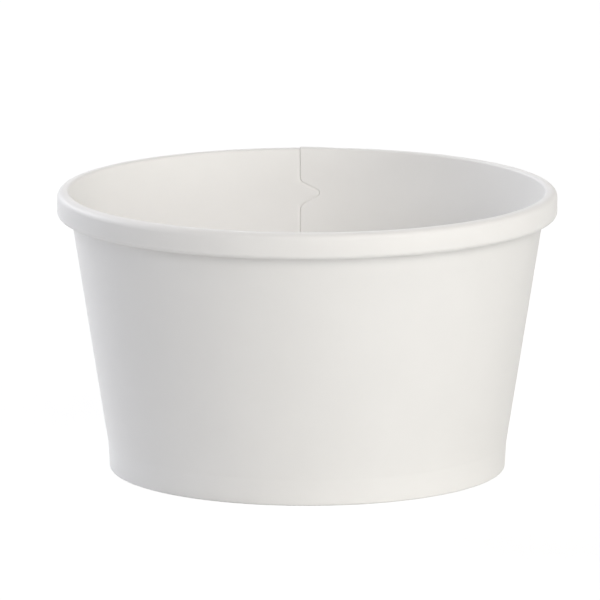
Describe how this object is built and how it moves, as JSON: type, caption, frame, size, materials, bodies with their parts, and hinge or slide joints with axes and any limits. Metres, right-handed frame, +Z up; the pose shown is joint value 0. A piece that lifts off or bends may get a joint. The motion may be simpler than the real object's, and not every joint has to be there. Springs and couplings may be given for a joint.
{
  "type": "paper sundae cup",
  "caption": "Round tapered paper cup for ice cream, with a rolled rim, a lapped side seam and a turned-in hem round a recessed base.",
  "frame": {"origin": "centre of the foot, on the surface that the cup stands on", "axes": "+Z up the cup's axis to the open rim; the lap seam is at the back, on the +Y side"},
  "size_m": [0.115, 0.1152, 0.065],
  "materials": {
    "coated_board": "smooth white coated board with a soft sheen",
    "base_board": "smooth white coated board with a soft sheen"
  },
  "bodies": {
    "root": {"sidewall": "coated_board", "base_disc": "base_board"}
  },
  "joints": []
}
